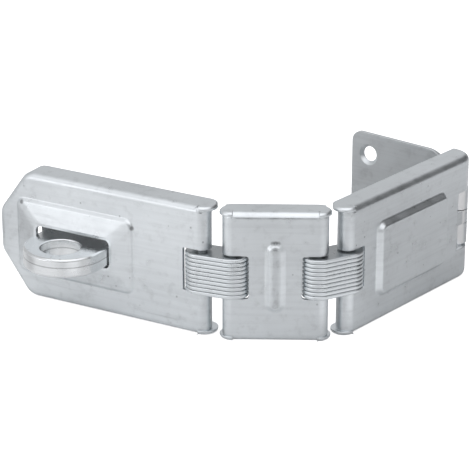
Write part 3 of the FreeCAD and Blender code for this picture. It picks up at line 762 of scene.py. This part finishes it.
def press_round(skin, plate):
    """Rounds a plate's ears, and then the corners of its notches. The corners are
    known by their height, so one pin serves for the notches at both ends."""
    turn, rise, ends = plates[plate]
    ears = [edge for edge in skin.edges for joint, side in ends
            if on_ear(edge, joint, side, turn, rise)]
    round_off(skin, ears, EAR_ROUNDING)
    corners = [edge for edge in skin.edges if in_notch_corner(edge, ends[0][0], turn, rise)]
    round_off(skin, corners, NOTCH_ROUNDING[plate])
    print(plate, "ear edges:", len(ears), "notch corners:", len(corners))


for plate in plates:
    eased_piece(plate, PLATE_EDGE, shape=press_round)
for node, radius in EDGE_RADII.items():
    eased_piece(node, radius)

# %% [markdown]
# ## Barrel shoulders
# The face is rolled round the pin right under the ear, and the bend's rounding
# dies out over the top of that roll. Each shoulder is the bend's quarter round,
# spun about the pin. The lower one is its mirror image.

# %% Shoulders over the barrels
BARREL_RADIUS = 3.35
BEND_RADIUS = 2.4
BEND_STEPS = 8
SHOULDER_SWEEP = math.radians(150)
SHOULDER_STEPS = 24
SHOULDER_FOOT = 0.6
SHOULDER_TOP = PLATE_HALF_HEIGHT - 0.02


def shoulder_piece(plate, joint, side):
    """The quarter round over one barrel, and its mirror image under it."""
    turn, rise, _ = plates[plate]
    skin = bmesh.new()
    inner = -BARREL_RADIUS + BEND_RADIUS
    spot = skin.verts.new(Vector((0, inner, SHOULDER_TOP)) * MM)
    bmesh.ops.spin(skin, geom=[spot], cent=Vector((0, inner, SHOULDER_TOP - BEND_RADIUS)) * MM,
                   axis=(1, 0, 0), angle=math.pi / 2, steps=BEND_STEPS, use_duplicate=False)
    lowest = min(skin.verts, key=lambda v: v.co.z)
    foot = bmesh.ops.extrude_vert_indiv(skin, verts=[lowest])["verts"]
    bmesh.ops.translate(skin, verts=foot, vec=(0, 0, -SHOULDER_FOOT * MM))
    bmesh.ops.spin(skin, geom=skin.verts[:] + skin.edges[:], cent=(0, 0, 0), axis=(0, 0, 1),
                   angle=side * SHOULDER_SWEEP, steps=SHOULDER_STEPS, use_duplicate=False)
    bmesh.ops.mirror(skin, geom=skin.verts[:] + skin.edges[:] + skin.faces[:],
                     matrix=Matrix.Identity(4), axis="Z", merge_dist=0)
    bmesh.ops.recalc_face_normals(skin, faces=skin.faces)
    inward = []
    for face in skin.faces:
        middle = face.calc_center_median()
        out = Vector((middle.x, middle.y, math.copysign(MM, middle.z)))
        if face.normal.dot(out) < 0:
            inward.append(face)
    bmesh.ops.reverse_faces(skin, faces=inward)
    bmesh.ops.rotate(skin, verts=skin.verts, cent=(0, 0, 0),
                     matrix=Matrix.Rotation(turn, 3, "Z"))
    bmesh.ops.translate(skin, verts=skin.verts, vec=(pins[joint] + Vector((0, 0, rise))) * MM)
    add_piece("shoulder_" + joint, skin, plate)


for plate, (_, _, ends) in plates.items():
    for joint, side in ends:
        shoulder_piece(plate, joint, side)

# %% [markdown]
# ## The middle plate's bead
# A bead is an upright ridge pressed into the plate to stiffen it. The sheet is
# drawn over the punch in one soft swelling, so its sides have no flats. The skin
# starts from a long rounded outline and is inset and raised ring by ring.

# %% Bead
BEAD_HALF_WIDTH = 3.8
BEAD_HALF_HEIGHT = 12.7
BEAD_SEGMENTS = 48
BEAD_SINK = 0.04
MIDDLE_SLACK = 0.0001
# each ring: how far in from the last one, and how much higher
BEAD_RINGS = ((0.35, 0.05), (0.35, 0.12), (0.4, 0.22), (0.45, 0.29), (0.45, 0.24),
              (0.45, 0.15), (0.45, 0.08), (0.4, 0.03))


def bead_piece():
    """The raised skin on the middle plate's front. Its outline is a circle whose
    two halves are drawn apart, and the points on its middle line stay."""
    skin = bmesh.new()
    bmesh.ops.create_circle(skin, cap_ends=True, segments=BEAD_SEGMENTS,
                            radius=BEAD_HALF_WIDTH * MM)
    shift = (BEAD_HALF_HEIGHT - BEAD_HALF_WIDTH) * MM
    upper = [v for v in skin.verts if v.co.y > MIDDLE_SLACK * MM]
    lower = [v for v in skin.verts if v.co.y < -MIDDLE_SLACK * MM]
    bmesh.ops.translate(skin, verts=upper, vec=(0, shift, 0))
    bmesh.ops.translate(skin, verts=lower, vec=(0, -shift, 0))
    crest = list(skin.faces)
    for width, rise in BEAD_RINGS:
        bmesh.ops.inset_region(skin, faces=crest, thickness=width * MM,
                              use_boundary=True, use_even_offset=True)
        bmesh.ops.translate(skin, verts=crest[0].verts, vec=(0, 0, rise * MM))
    bmesh.ops.translate(skin, verts=skin.verts, vec=(0, 0, (BARREL_RADIUS - BEAD_SINK) * MM))
    for angle, axis in ((math.pi / 2, "X"), (MIDDLE_TURN, "Z")):
        bmesh.ops.rotate(skin, verts=skin.verts, cent=(0, 0, 0),
                         matrix=Matrix.Rotation(angle, 3, axis))
    bmesh.ops.translate(skin, verts=skin.verts, vec=middle_centre * MM)
    piece = add_piece("bead_skin", skin, "middle_plate")
    piece.data.materials[0] = bead_zinc


bead_piece()

# %% [markdown]
# ## Link laminations
# Each link is a pile of ten stamped plates on two pins. Stamping rounds their
# edges, so the pile shows ten soft bands, with painted shade as a thin dark line
# in the joint between each two. The copies get rounder edges than the solids'
# plain chamfers.

# %% Laminations
LAMINATION_EDGE = 0.16
LAMINATION_EDGE_STEPS = 3
CHAMFER_ANGLE = math.radians(25)
laminations = [node for node in frame["nodes"] if "_link_plate_" in node]
for node in laminations:
    eased_piece(node, LAMINATION_EDGE, steps=LAMINATION_EDGE_STEPS, angle=CHAMFER_ANGLE)
print("laminations:", len(laminations))
